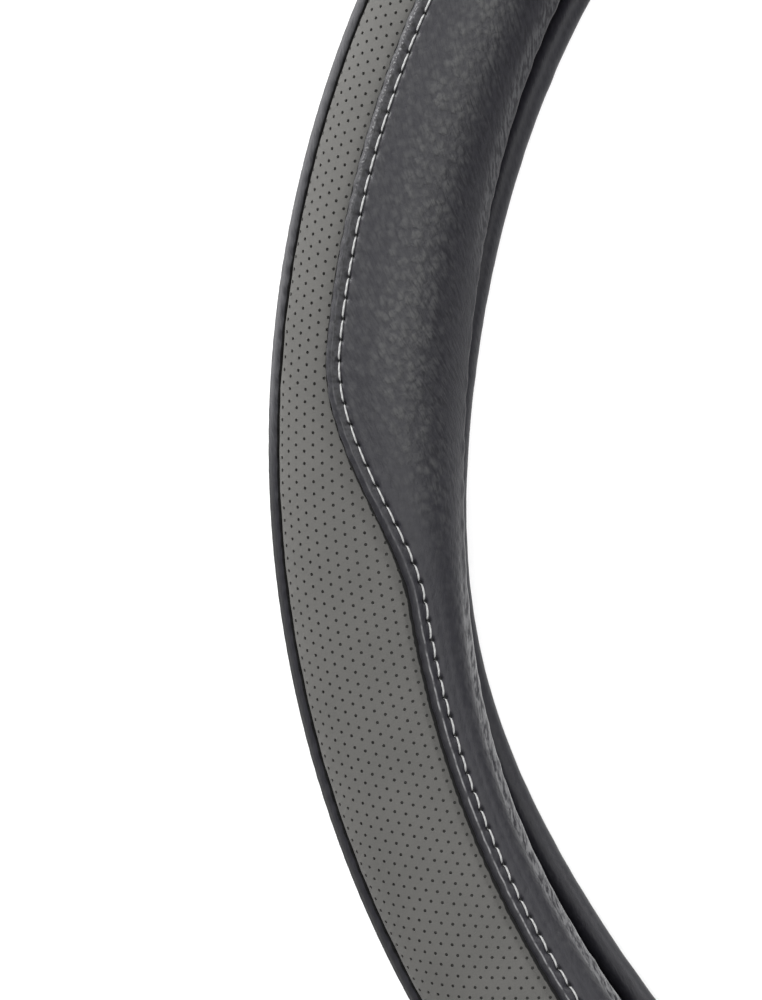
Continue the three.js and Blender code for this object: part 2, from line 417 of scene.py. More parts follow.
class Nodes:
    """A node tree under construction, with short calls for the nodes that this cover needs."""

    def __init__(self, tree: NodeTree) -> None:
        """Starts work on a tree."""
        self.tree = tree

    def fill(self, node: Node, inputs: dict[str, object]) -> Node:
        """Sets or links a node's inputs.

        Args:
            node: the node.
            inputs: values and sockets by the input's name, with underscores for spaces, or by
                its place, as in_0.

        Returns:
            The same node.
        """
        for key, value in inputs.items():
            numbered = key.startswith("in_") and key[3:].isdigit()
            socket = node.inputs[int(key[3:]) if numbered else key.replace("_", " ")]
            source = value.socket if isinstance(value, Mask) else value
            if isinstance(source, NodeSocket):
                self.tree.links.new(source, socket)
            else:
                socket.default_value = source
        return node

    def node(self, kind: str, options: dict[str, object], **inputs: object) -> Node:
        """Adds a node.

        Args:
            kind: its kind, such as TexNoise.
            options: its settings by name.
            inputs: its inputs, as fill takes them.

        Returns:
            The node.
        """
        made = self.tree.nodes.new("ShaderNode" + kind)
        for key, value in options.items():
            setattr(made, key, value)
        return self.fill(made, inputs)

    def noise(
        self, vector: object, scale: object, detail: float, roughness: float = 0.5
    ) -> "Mask":
        """Adds a noise texture.

        Args:
            vector: socket with the place.
            scale: blotches per metre.
            detail: number of finer layers.
            roughness: how strong the finer layers are.

        Returns:
            The noise, of about 0.3 to 0.7.
        """
        inputs = {"Vector": vector, "Scale": scale, "Detail": detail, "Roughness": roughness}
        return Mask(self, self.node("TexNoise", {}, **inputs).outputs["Fac"])

    def blend(self, share: "Mask", first: object, second: object) -> NodeSocket:
        """Mixes two colours.

        Args:
            share: share of the second colour.
            first: the first colour.
            second: the second colour.

        Returns:
            The mixed colour.
        """
        made = self.node("Mix", {"data_type": "RGBA"}, in_0=share, in_6=first, in_7=second)
        return made.outputs[2]


@dataclass(frozen=True)
class Mask:
    """A number that changes over the surface, on which sums are written as usual."""

    nodes: Nodes
    socket: NodeSocket

    def maths(self, operation: str, *others: object) -> "Mask":
        """Adds a Math node with this number as its first input.

        Args:
            operation: the node's operation.
            others: its further inputs.

        Returns:
            What the node puts out.
        """
        inputs = {f"in_{i}": value for i, value in enumerate((self, *others))}
        made = self.nodes.node("Math", {"operation": operation}, **inputs)
        return Mask(self.nodes, made.outputs[0])

    def __mul__(self, other: object) -> "Mask":
        """The product with another number."""
        return self.maths("MULTIPLY", other)

    def __sub__(self, other: object) -> "Mask":
        """The difference from another number."""
        return self.maths("SUBTRACT", other)

    def __abs__(self) -> "Mask":
        """The number without its sign."""
        return self.maths("ABSOLUTE")

    def scaled(self, by: object, plus: object) -> "Mask":
        """The number times one value plus another."""
        return self.maths("MULTIPLY_ADD", by, plus)

    def larger(self, other: object) -> "Mask":
        """The larger of two numbers."""
        return self.maths("MAXIMUM", other)

    def stepped(self, low: float, high: float) -> "Mask":
        """Maps the number smoothly from low and high to nought and one.

        Args:
            low: number that becomes nought.
            high: number that becomes one, which may lie under low.

        Returns:
            The mapped number.
        """
        options = {"interpolation_type": "SMOOTHSTEP"}
        inputs = {"Value": self, "From_Min": low, "From_Max": high}
        return Mask(self.nodes, self.nodes.node("MapRange", options, **inputs).outputs["Result"])


class Effect(Nodes):
    """A node group under construction, with named inputs and outputs."""

    def __init__(self, name: str, inputs: dict[str, str], outputs: tuple[str, ...]) -> None:
        """Starts the group.

        Args:
            name: the group's name.
            inputs: socket kinds by name.
            outputs: names of the values that it puts out.
        """
        super().__init__(bpy.data.node_groups.new(name, "ShaderNodeTree"))
        sockets = [(key, "INPUT", kind) for key, kind in inputs.items()]
        sockets += [(key, "OUTPUT", "Float") for key in outputs]
        for key, way, kind in sockets:
            self.tree.interface.new_socket(
                name=key, in_out=way, socket_type="NodeSocket" + kind
            )
        self.source = self.tree.nodes.new("NodeGroupInput")
        self.sink = self.tree.nodes.new("NodeGroupOutput")

    def given(self, name: str) -> Mask:
        """One of the group's inputs."""
        return Mask(self, self.source.outputs[name])

    def finish(self, **values: Mask) -> NodeTree:
        """Links what the group puts out, and returns the group."""
        self.fill(self.sink, values)
        return self.tree


class Surface(Nodes):
    """A material under construction, with one Principled shader."""

    def __init__(self, name: str, **values: object) -> None:
        """Starts the material.

        Args:
            name: the material's name.
            values: plain values of the shader's inputs, as fill takes them.
        """
        self.material = bpy.data.materials.new(name)
        self.material.use_nodes = True
        super().__init__(self.material.node_tree)
        self.shader = self.tree.nodes["Principled BSDF"]
        self.fill(self.shader, values)

    def pattern(self, name: str = "pattern") -> NodeSocket:
        """One of the panel's own UV maps, in metres."""
        return self.node("UVMap", {"uv_map": name}).outputs["UV"]

    def parts(self, name: str) -> tuple[Mask, Mask]:
        """The two coordinates of one of the panel's own UV maps."""
        made = self.node("SeparateXYZ", {}, Vector=self.pattern(name))
        return Mask(self, made.outputs["X"]), Mask(self, made.outputs["Y"])

    def weight(self, name: str) -> Mask:
        """A number kept at the mesh's vertices."""
        return Mask(self, self.node("Attribute", {"attribute_name": name}).outputs["Fac"])

    def effect(self, tree: NodeTree, **inputs: object) -> dict[str, Mask]:
        """Places a node group.

        Args:
            tree: the group.
            inputs: its inputs, as fill takes them.

        Returns:
            What it puts out, by name.
        """
        made = self.node("Group", {"node_tree": tree}, **inputs)
        return {socket.name: Mask(self, socket) for socket in made.outputs}

    def bump(self, height: Mask, distance: float, strength: float = 1.0) -> NodeSocket:
        """The normal of a surface with this relief."""
        made = self.node("Bump", {}, Strength=strength, Distance=distance, Height=height)
        return made.outputs["Normal"]

    def finish(self, **inputs: object) -> Material:
        """Links the shader's inputs, and returns the material."""
        self.fill(self.shader, inputs)
        return self.material


@dataclass(frozen=True)
class LitchiGrain:
    """Pebbled leather grain: soft long pebbles with darker valleys between them, and pores."""

    wander_scale: float = 480.0
    wander: float = 0.6 * MM
    drawn_out: float = 0.78
    softness: float = 0.12
    pebble_edge: float = 0.6
    pebble_top: float = 0.12
    swell_scale: float = 330.0
    fine_scale: float = 1700.0
    fine_share: float = 0.3
    pebble_share: float = 0.8
    pore_scale: float = 6000.0
    pore_height: float = 0.25

    def group(self) -> NodeTree:
        """Builds the group, which puts out the relief and a mask of the pebbles.

        Returns:
            The group.
        """
        inputs = {"Vector": "Vector", "Cells per metre": "Float", "Weight": "Float"}
        effect = Effect("litchi_grain", inputs, ("Height", "Pebble"))
        place, cells = effect.given("Vector"), effect.given("Cells per metre")
        bend = effect.node("TexNoise", {}, Vector=place, Scale=self.wander_scale, Detail=1.0)
        shift = effect.node(
            "VectorMath",
            {"operation": "MULTIPLY_ADD"},
            in_0=bend.outputs["Color"],
            in_1=(self.wander,) * 3,
            in_2=place,
        )
        drawn = effect.node(
            "Mapping", {}, Vector=shift.outputs["Vector"], Scale=(1.0, self.drawn_out, 1.0)
        )
        bent = drawn.outputs["Vector"]
        large = effect.node(
            "TexVoronoi",
            {"voronoi_dimensions": "2D", "feature": "SMOOTH_F1"},
            Vector=bent,
            Scale=cells,
            Smoothness=self.softness,
        )
        swell = effect.noise(place, self.swell_scale, 1.0).stepped(0.35, 0.65)
        fine = effect.noise(bent, self.fine_scale, 3.0).stepped(0.34, 0.66)
        dome = Mask(effect, large.outputs["Distance"]).stepped(self.pebble_edge, self.pebble_top)
        pebble = dome * swell.scaled(0.5, 0.5) * self.pebble_share
        weighted = fine.scaled(self.fine_share, pebble) * effect.given("Weight")
        pores = effect.noise(bent, self.pore_scale, 3.0, 0.6)
        return effect.finish(Height=pores.scaled(self.pore_height, weighted), Pebble=weighted)


@dataclass(frozen=True)
class PullCreases:
    """Fine hair-like creases that leather shows where it is pulled, drawn out along the pull."""

    coarse_scale: float = 1900.0
    fine_scale: float = 4300.0
    fine_share: float = 0.4
    dark_from: float = 0.78
    dark_to: float = 0.52

    def group(self) -> NodeTree:
        """Builds the group, which puts out the relief and a mask of the creases' bottoms, where
        the material paints shade.

        Returns:
            The group.
        """
        inputs = {"Vector": "Vector", "Weight": "Float"}
        effect = Effect("pull_creases", inputs, ("Height", "Dark"))
        place, weight = effect.given("Vector"), effect.given("Weight")
        coarse = effect.noise(place, self.coarse_scale, 2.0)
        both = effect.noise(place, self.fine_scale, 2.0).scaled(self.fine_share, coarse)
        dark = both.stepped(self.dark_from, self.dark_to)
        return effect.finish(Height=both * weight, Dark=dark * weight)


@dataclass(frozen=True)
class Mottle:
    """Slow, soft variation of tone over a panel."""

    detail: float = 3.0
    roughness: float = 0.55

    def group(self) -> NodeTree:
        """Builds the group, which puts out the tone.

        Returns:
            The group.
        """
        inputs = {"Vector": "Vector", "Blotches per metre": "Float"}
        effect = Effect("mottle", inputs, ("Tone",))
        scale = effect.given("Blotches per metre")
        noise = effect.noise(effect.given("Vector"), scale, self.detail, self.roughness)
        return effect.finish(Tone=noise.stepped(0.3, 0.7))


@dataclass
class Effects:
    """The node groups that several materials use."""

    litchi: NodeTree = field(default_factory=LitchiGrain().group)
    creases: NodeTree = field(default_factory=PullCreases().group)
    mottle: NodeTree = field(default_factory=Mottle().group)


@dataclass(frozen=True)
class BlackLeather:
    """Black leather: neutral and pebbled where it lies full, smoother and violet where pulled."""

    name: str
    smooth: Colour = (0.0085, 0.0082, 0.0118, 1.0)
    pebbled: Colour = (0.0405, 0.0407, 0.0415, 1.0)
    # Painted shade in the bottoms of the pulled creases.
    crease: Colour = (0.0070, 0.0068, 0.0090, 1.0)
    shadow: Colour = (0.0015, 0.0015, 0.0018, 1.0)
    # Painted highlight colour: the lit band along the lower lip, thin light lines at the upper
    # lip, streaks on the upper outer roll and the lit middle of the back strip.
    painted_highlight: Colour = (0.1150, 0.1150, 0.1180, 1.0)
    # Painted highlight colour of the line along the hem's crest and of the glints.
    painted_glint: Colour = (0.1700, 0.1700, 0.1740, 1.0)
    specular: float = 0.2
    roughness: float = 0.46
    gloss: float = 0.16
    cells: float = 700.0
    blotches: float = 70.0
    relief: float = 0.12 * MM
    pull_relief: float = 0.8
    pull_dark: float = 0.9
    crest_inset: float = 1.0 * MM
    crest_width: float = 0.17 * MM
    glint_scale: float = 2600.0
    stitch_inset: float = 2.2 * MM
    stitch_length: float = 3.4 * MM
    # Radius of the painted shade round each needle hole.
    needle_shade_radius: float = 0.5 * MM
    speck_scale: float = 1300.0
    speck_dark: float = 0.75

    def crest(self, surface: Surface) -> Mask:
        """The narrow painted highlight along the hem's crest, broken here and there, and painted
        glints.

        Args:
            surface: the material under construction.

        Returns:
            The mask of the painted highlight and glints.
        """
        inset, _ = surface.parts("seams")
        line = abs(inset - self.crest_inset).stepped(self.crest_width, 0.05 * MM)
        broken = surface.noise(surface.pattern(), 500.0, 3.0)
        # Painted highlight line along the crest, broken by noise.
        worn = line * broken.stepped(0.34, 0.6) * surface.weight("crest")
        points = surface.noise(surface.pattern(), self.glint_scale, 2.0)
        return worn.larger(points.stepped(0.48, 0.66) * surface.weight("glint"))

    def seam_shade(self, surface: Surface) -> Mask:
        """Where shade is painted: in the seams, at the needle holes, along the hem and wherever
        else the shade weight says; dark specks along the hem join it.

        Args:
            surface: the material under construction.

        Returns:
            The mask of the shade.
        """
        inset, stitches = surface.parts("seams")
        along = stitches.maths("PINGPONG", 0.5) * self.stitch_length
        away = surface.node("CombineXYZ", {}, X=inset - self.stitch_inset, Y=along)
        length = surface.node(
            "VectorMath", {"operation": "LENGTH"}, in_0=away.outputs["Vector"]
        )
        # Painted shade round each needle hole.
        needle_shade = Mask(surface, length.outputs["Value"]).stepped(self.needle_shade_radius, 0.18 * MM)
        spots = surface.noise(surface.pattern(), self.speck_scale, 2.0).stepped(0.42, 0.62)
        specks = surface.weight("speck") * spots * self.speck_dark
        return needle_shade.larger(surface.weight("shade").larger(specks))

    def material(self, effects: Effects) -> Material:
        """Builds the material, which reads the weights and maps of its mesh.

        Args:
            effects: the shared node groups.

        Returns:
            The material.
        """
        surface = Surface(self.name, Specular_IOR_Level=self.specular)
        pattern = surface.pattern()
        grain = surface.effect(
            effects.litchi,
            Vector=pattern,
            Cells_per_metre=self.cells,
            Weight=surface.weight("grain"),
        )
        pulled = surface.effect(
            effects.creases, Vector=surface.pattern("pull"), Weight=surface.weight("pull_weight")
        )
        mottle = surface.effect(effects.mottle, Vector=pattern, Blotches_per_metre=self.blotches)
        full = surface.weight("full").scaled(0.22, grain["Pebble"])
        body = surface.blend(full * mottle["Tone"].scaled(0.25, 0.85), self.smooth, self.pebbled)
        streaks = pulled["Height"].stepped(0.56, 0.82).scaled(0.8, 0.2)
        # Painted highlight: lighter streaks wherever the stretch weight is set.
        painted_highlight = surface.blend(surface.weight("stretch") * streaks, body, self.painted_highlight)
        # Painted shade in the crease bottoms.
        creased = surface.blend(pulled["Dark"] * self.pull_dark, painted_highlight, self.crease)
        # Painted shade in the seams, at the needle holes and along the hem, with dark specks.
        shaded = surface.blend(self.seam_shade(surface), creased, self.shadow)
        height = pulled["Height"].scaled(self.pull_relief, grain["Height"])
        worn = surface.weight("gloss").scaled(-self.gloss, self.roughness)
        return surface.finish(
            # Painted highlight and glints along the hem, laid over everything else.
            Base_Color=surface.blend(self.crest(surface), shaded, self.painted_glint),
            Normal=surface.bump(height, self.relief),
            Roughness=grain["Pebble"].scaled(0.1, worn),
        )


@dataclass(frozen=True)
class GreyLeather:
    """Smooth matt grey leather."""

    name: str
    light: Colour = (0.068, 0.0665, 0.0630, 1.0)
    dark: Colour = (0.058, 0.0572, 0.0542, 1.0)
    shadow: Colour = (0.004, 0.004, 0.004, 1.0)
    specular: float = 0.16
    roughness: float = 0.72
    relief: float = 0.05 * MM
    blotches: float = 90.0
    pore_scale: float = 4200.0
    ragged: float = 0.5 * MM
    hem_shadow: float = 0.3 * MM
    seam_shadow: float = 0.28 * MM

    def material(self, effects: Effects) -> Material:
        """Builds the material, with painted shade beside the hem and the outer seam.

        Args:
            effects: the shared node groups.

        Returns:
            The material.
        """
        surface = Surface(self.name, Specular_IOR_Level=self.specular)
        pattern = surface.pattern()
        mottle = surface.effect(effects.mottle, Vector=pattern, Blotches_per_metre=self.blotches)
        pores = surface.noise(pattern, self.pore_scale, 4.0, 0.65)
        fine = pores.stepped(0.35, 0.65)
        body = surface.blend(mottle["Tone"].scaled(0.5, fine * 0.5), self.dark, self.light)
        # Painted shade: a ragged dark line beside the hem and a dark line along the outer seam.
        to_hem, from_seam = surface.parts("seams")
        to_hem = surface.noise(pattern, 700.0, 2.0).scaled(-self.ragged, to_hem)
        ditch = to_hem.stepped(self.hem_shadow, 0.16 * MM)
        painted_shade = ditch.larger(from_seam.stepped(self.seam_shadow, 0.14 * MM))
        return surface.finish(
            Base_Color=surface.blend(painted_shade, body, self.shadow),
            Normal=surface.bump(pores, self.relief),
            Roughness=fine.scaled(-0.06, self.roughness),
        )


@dataclass(frozen=True)
class PunchedHole:
    """The dark inside of a perforation; in the outer seam the same finish is near-black painted
    shade.
    """

    name: str
    colour: Colour = (0.034, 0.034, 0.032, 1.0)
    worn: Colour = (0.050, 0.050, 0.047, 1.0)
    blotches: float = 3000.0

    def material(self, effects: Effects) -> Material:
        """Builds the material.

        Args:
            effects: the shared node groups.

        Returns:
            The material.
        """
        surface = Surface(self.name, Roughness=0.9, Specular_IOR_Level=0.05)
        inputs = {"Vector": surface.pattern(), "Blotches_per_metre": self.blotches}
        tone = surface.effect(effects.mottle, **inputs)["Tone"]
        return surface.finish(Base_Color=surface.blend(tone, self.colour, self.worn))


@dataclass(frozen=True)
class SewingThread:
    """White twisted thread."""

    name: str
    light: Colour = (0.303, 0.303, 0.301, 1.0)
    dark: Colour = (0.23, 0.230, 0.228, 1.0)
    twist_scale: float = 520.0
    relief: float = 0.05 * MM

    def material(self, effects: Effects) -> Material:
        """Builds the material, which draws the twist on the thread's own map.

        Args:
            effects: the shared node groups, of which this finish needs none.

        Returns:
            The material.
        """
        surface = Surface(self.name, Roughness=0.65, Sheen_Weight=0.25, Sheen_Roughness=0.4)
        inputs = {"Vector": surface.pattern(), "Scale": self.twist_scale, "Distortion": 0.6}
        wave = surface.node("TexWave", {"bands_direction": "DIAGONAL"}, **inputs)
        twist = Mask(surface, wave.outputs["Fac"])
        return surface.finish(
            Base_Color=surface.blend(twist, self.dark, self.light),
            Normal=surface.bump(twist, self.relief, 0.8),
        )


@dataclass(frozen=True)
class MouldedRubber:
    """Matt black moulded rubber."""

    name: str
    colour: Colour = (0.012, 0.012, 0.013, 1.0)
    dusty: Colour = (0.019, 0.019, 0.020, 1.0)
    roughness: float = 0.66
    blotches: float = 160.0
    grit_scale: float = 2600.0
    relief: float = 0.06 * MM

    def material(self, effects: Effects) -> Material:
        """Builds the material.

        Args:
            effects: the shared node groups.

        Returns:
            The material.
        """
        surface = Surface(self.name)
        pattern = surface.pattern()
        inputs = {"Vector": pattern, "Blotches_per_metre": self.blotches}
        tone = surface.effect(effects.mottle, **inputs)["Tone"]
        grit = surface.noise(pattern, self.grit_scale, 3.0)
        return surface.finish(
            Base_Color=surface.blend(tone, self.colour, self.dusty),
            Roughness=tone.scaled(0.12, self.roughness),
            Normal=surface.bump(grit, self.relief, 0.6),
        )


@dataclass
class Wardrobe:
    """The finished materials of the cover."""

    effects: Effects = field(default_factory=Effects)

    @cached_property
    def black(self) -> Material:
        """Grained leather of the front and back panels."""
        return BlackLeather("black_grained_leather").material(self.effects)

    @cached_property
    def grey(self) -> Material:
        """Smooth leather of the perforated panels."""
        return GreyLeather("grey_smooth_leather").material(self.effects)

    @cached_property
    def hole(self) -> Material:
        """Inside of the perforations."""
        return PunchedHole("punched_hole").material(self.effects)

    @cached_property
    def seam(self) -> Material:
        """Near-black painted shade on the leather faces in the outer seam."""
        # Painted shade colours for the seam.
        dark, less_dark = (0.004, 0.004, 0.004, 1.0), (0.009, 0.009, 0.009, 1.0)
        return PunchedHole("seam_shadow", dark, less_dark).material(self.effects)

    @cached_property
    def thread(self) -> Material:
        """Topstitch thread."""
        return SewingThread("white_thread").material(self.effects)

    @cached_property
    def rubber(self) -> Material:
        """Moulded ring."""
        return MouldedRubber("ring_rubber").material(self.effects)


def placed(mesh: Mesh, name: str, node: str, materials: list[Material]) -> Object:
    """Makes an object of a finished mesh and puts it in the place of its CAD node.

    Args:
        mesh: the finished mesh.
        name: the piece's name.
        node: the CAD node that it stands for.
        materials: the mesh's materials, in the order of its material indices.

    Returns:
        The object.
    """
    mesh.name = name
    for material in materials:
        mesh.materials.append(material)
    piece = bpy.data.objects.new(name, mesh)
    bpy.context.scene.collection.objects.link(piece)
    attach(piece, "root")
    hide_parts(node)
    mesh.calc_loop_triangles()
    LOG.info("%s: %d triangles", name, len(mesh.loop_triangles))
    return piece


@dataclass
class HalfPiece:
    """A piece of one half of the ring."""

    seams: Seams
    hand: Hand

    def lay(self, mesh: Mesh, around: Array, lift: Array, past: Array, angle: Array) -> None:
        """Bends the flat pattern onto the ring, as Rim.lay says."""
        places = self.seams.rim.lay(around, lift, past, angle, self.hand)
        mesh.vertices.foreach_set("co", places.reshape(-1))
        mesh.update()

    def add_pull(self, mesh: Mesh, across: Array, angle: Array, weight: Array) -> None:
        """Adds the UV map that the pulled creases run along, and how strongly they show.

        Args:
            mesh: the panel's mesh.
            across: distance across the panel.
            angle: angle along the ring.
            weight: strength of the creases at each vertex.
        """
        slope_below, slope_change, drawn_out = 0.25, 0.85, 0.24
        steps = np.linspace(-180.0, 180.0, 721)
        slope = slope_below - slope_change * self.seams.wide(steps)
        run = np.cumsum(slope[1:] * self.seams.along(0.5))
        drift = across - np.interp(angle, steps, np.concatenate([[0.0], run]))
        add_pattern(mesh, drift, drawn_out * self.seams.along(angle), "pull")
        add_weights(mesh, pull_weight=weight)

    def finished(
        self, mesh: Mesh, name: str, node: str, slot: str, materials: list[Material]
    ) -> Object:
        """Makes the object, as placed says, with this half's word after both names."""
        word = self.hand.word
        return placed(mesh, f"{name}_{word}", f"{node}_{word}", materials)


@dataclass
class FrontPanel(HalfPiece):
    """Black front panel: a folded hem over the grey, a soft pad above, and the front lip."""

    rows: int = 1120
    width: float = 22.0 * MM
    turn_in: float = 5.0 * MM
    nose: float = 0.6 * MM
    pad_rise: float = 1.2 * MM
    stitch_dip: float = 0.2 * MM
    needle_dip: float = 0.75 * MM
    needle_radius: float = 0.34 * MM
    hem_crest: float = 0.12 * MM
    thread_pull: float = 0.06 * MM
    fine_wrinkle: float = 0.022 * MM
    fine_pitch: float = 1.5 * MM
    broad_wrinkle: float = 0.035 * MM
    broad_pitch: float = 4.2 * MM
    edge_wave: float = 0.05 * MM
    edge_wander: float = 0.03 * MM
    edge_pitch: float = 5.0 * MM
    lip_wave: float = 0.06 * MM
    lip_pitch: float = 5.5 * MM

    def outline(self) -> Outline:
        """The panel's section, flat: under the hem, over the ring, round the lip and back.

        Returns:
            The outline, with x growing from the fold to the lip.
        """
        seams = self.seams
        lip, inner = seams.lip_radius, seams.lip_radius - seams.leather
        turned = self.width - self.turn_in
        outline = Outline()
        outline.point(self.nose, seams.gap, 0.0)
        outline.line(seams.lap, seams.gap, 2, 0.0)
        outline.line(seams.lap, -seams.leather, 1, 0.0)
        outline.line(self.width, -seams.leather, 4, 0.0)
        outline.arc((self.width, -lip), inner, 70.0, -90.0, 4, 0.0)
        outline.line(turned, -lip - inner, 2, 0.0)
        outline.line(turned, -2.0 * lip, 1, 0.0)
        outline.line(self.width, -2.0 * lip, 3, 0.0)
        outline.arc((self.width, -lip), lip, -80.0, 90.0, 14, 1.0)
        outline.line(seams.lap, 0.0, 26, 1.0)
        outline.line(self.nose, 0.0, 15, 1.0)
        outline.points.pop()
        outline.arc((self.nose, seams.hem_top - self.nose), self.nose, 90.0, 246.0, 6, 0.5)
        return outline

    def inward(self, x: Array) -> Array:
        """Share of the way from the lap to the lip."""
        lap = self.seams.lap
        return np.clip((x - lap) / (self.width - lap), 0.0, 1.0)

    def relief(self, x: Array, angle: Array) -> Array:
        """Height of the skin over the grey panel's level.

        Args:
            x: distance from the fold on the flat pattern.
            angle: angle along the ring.

        Returns:
            The height at each point.
        """
        seams, seed = self.seams, self.hand.seed(11)
        along, wide, inward = seams.along(angle), seams.wide(angle), self.inward(x)
        height = seams.hem_top * (1.0 - ease(inward) * 0.35 - inward * 0.65)
        height += self.pad_rise * np.sin(math.pi * inward) * (0.45 + 0.55 * wide)
        phase = seams.needle(angle)
        side = (x - seams.stitch_inset) / MM
        aside = np.abs(side)
        height -= self.stitch_dip * bell(side, 0.0, 0.62)
        along_hole = seams.along(phase * seams.stitch_angle)
        away = np.hypot(x - seams.stitch_inset, along_hole) / self.needle_radius
        height -= self.needle_dip * bell(away, 0.0, 1.0)
        height += self.hem_crest * bell(x / MM, 1.05, 0.5)
        pull = self.thread_pull * np.cos(FULL_TURN * phase) * np.exp(-aside / 1.6)
        height -= pull * np.where(aside > 0.5, 1.0, aside * 2.0)
        fine = ripple(along, seed, self.fine_pitch, x, 0.35) * np.exp(-aside / 2.4)
        height += self.fine_wrinkle * fine * ease((aside - 0.3) / 0.6)
        broad = ripple(along, seed + 20, self.broad_pitch, x, 0.9)
        broad = broad * ease((inward - 0.15) / 0.4)
        height += self.broad_wrinkle * broad * (1.0 - 0.65 * wide)
        return height

    def dress(self, mesh: Mesh, x: Array, lift: Array, angle: Array, past: Array) -> None:
        """Adds the weights that say where the leather is grained or glossier, where shade,
        highlights and glints are painted on it, and where dark specks lie.

        Args:
            mesh: the panel's mesh.
            x: distance from the fold on the flat pattern.
            lift: height over the ring's skin.
            angle: angle along the ring.
            past: overhang past the lip.
        """
        seams, edge = self.seams, x / MM
        inward, wide = self.inward(x), seams.wide(angle)
        narrow = 1.0 - wide
        middle = 0.25 + 0.75 * ease((inward - 0.12) / 0.22)
        middle = middle * (1.0 - ease((inward - 0.42) / 0.38))
        # Painted shade at the foot of the fold and, where the panel is narrow, over the hem's
        # nose.
        foot = ease((0.35 - edge) / 0.35) * ease((seams.gap + 0.45 * MM - lift) / (0.4 * MM))
        under = 0.38 * narrow * ease((1.05 - edge) / 0.3)
        # Painted glints along the upper hem.
        glint = bell(edge, 0.75, 0.28) * ease((angle - 9.0) / 10.0)
        # Painted highlights: a band along the lower lip and a thin line at the upper lip's edge.
        over = ease((inward - 0.66) / 0.34) * narrow * ease((-angle - 5.0) / 7.0)
        bent = ease((angle - 9.0) / 5.0) * ease((inward - 0.84) / 0.12) * (past < 0.9 * MM)
        polish = np.maximum(ease((inward - 0.72) / 0.2), bell(edge, 1.1, 0.35)) * narrow
        add_weights(
            mesh,
            grain=0.12 + 0.88 * middle * (0.05 + 0.95 * wide),
            full=(1.0 - 0.8 * ease((inward - 0.5) / 0.45)) * (0.35 + 0.65 * wide),
            shade=np.maximum(np.where(x < self.nose, foot, 0.0), under),
            # The crest, glint and stretch weights place painted highlights and glints; shade
            # places painted shade.
            crest=0.14 + 0.61 * ease((-angle - 7.0) / 7.0),
            glint=0.8 * glint,
            stretch=np.maximum(0.85 * over, 0.3 * bent),
            speck=np.exp(-(((edge - 1.25) / 0.62) ** 4)) * wide,
            gloss=polish - 0.9 * wide * ease((inward - 0.7) / 0.25),
        )

    def build(self, wardrobe: Wardrobe) -> Object:
        """Builds and dresses the panel.

        Args:
            wardrobe: the materials.

        Returns:
            The panel.
        """
        seams = self.seams
        mesh = self.outline().strip(self.rows)
        x, y, lift, skin = flat_points(mesh)
        angle = seams.half_angle(y, self.hand)
        along, inward = seams.along(angle), self.inward(x)
        past = np.maximum(x - self.width, 0.0)
        lip, fold = seams.front_lip(angle), seams.fold(angle)
        hem = seams.lap * seams.stretch(angle)
        on_hem, on_pad = x / seams.lap * hem, hem + inward * (lip - fold - hem)
        around = fold + np.where(x < seams.lap, on_hem, on_pad)
        hooked = lift < -seams.lip_radius
        around = np.where(hooked, lip + np.minimum(x - self.width, 0.0), around)
        flat_skin = (skin > 0.9) & (x <= self.width) & (lift > -seams.lip_radius / 2.0)
        lift = np.where(flat_skin, self.relief(x, angle), lift)
        outside = skin > 0.1
        wave = self.edge_wave * np.cos(FULL_TURN * seams.needle(angle))
        wave += self.edge_wander * ripple(along, 31, self.edge_pitch)
        to_stitch = 1.0 - x / seams.stitch_inset
        around += np.where(outside & (to_stitch > 0.0), wave * to_stitch, 0.0)
        wave = self.lip_wave * ripple(along, 33, self.lip_pitch, x, 0.5)
        lift += np.where(outside & (past > 0.0), wave * np.clip(past / MM, 0.0, 1.0), 0.0)
        self.lay(mesh, around, lift, past, angle)
        add_pattern(mesh, around + past - lift * (past > 0.0), along)
        add_pattern(mesh, x, angle / seams.stitch_angle, "seams")
        self.add_pull(mesh, around + past, angle, 0.45 + 0.55 * ease((inward - 0.3) / 0.4))
        self.dress(mesh, x, lift, angle, past)
        materials = [wardrobe.black]
        return self.finished(mesh, "front_leather", "front_panel", "black_leather", materials)


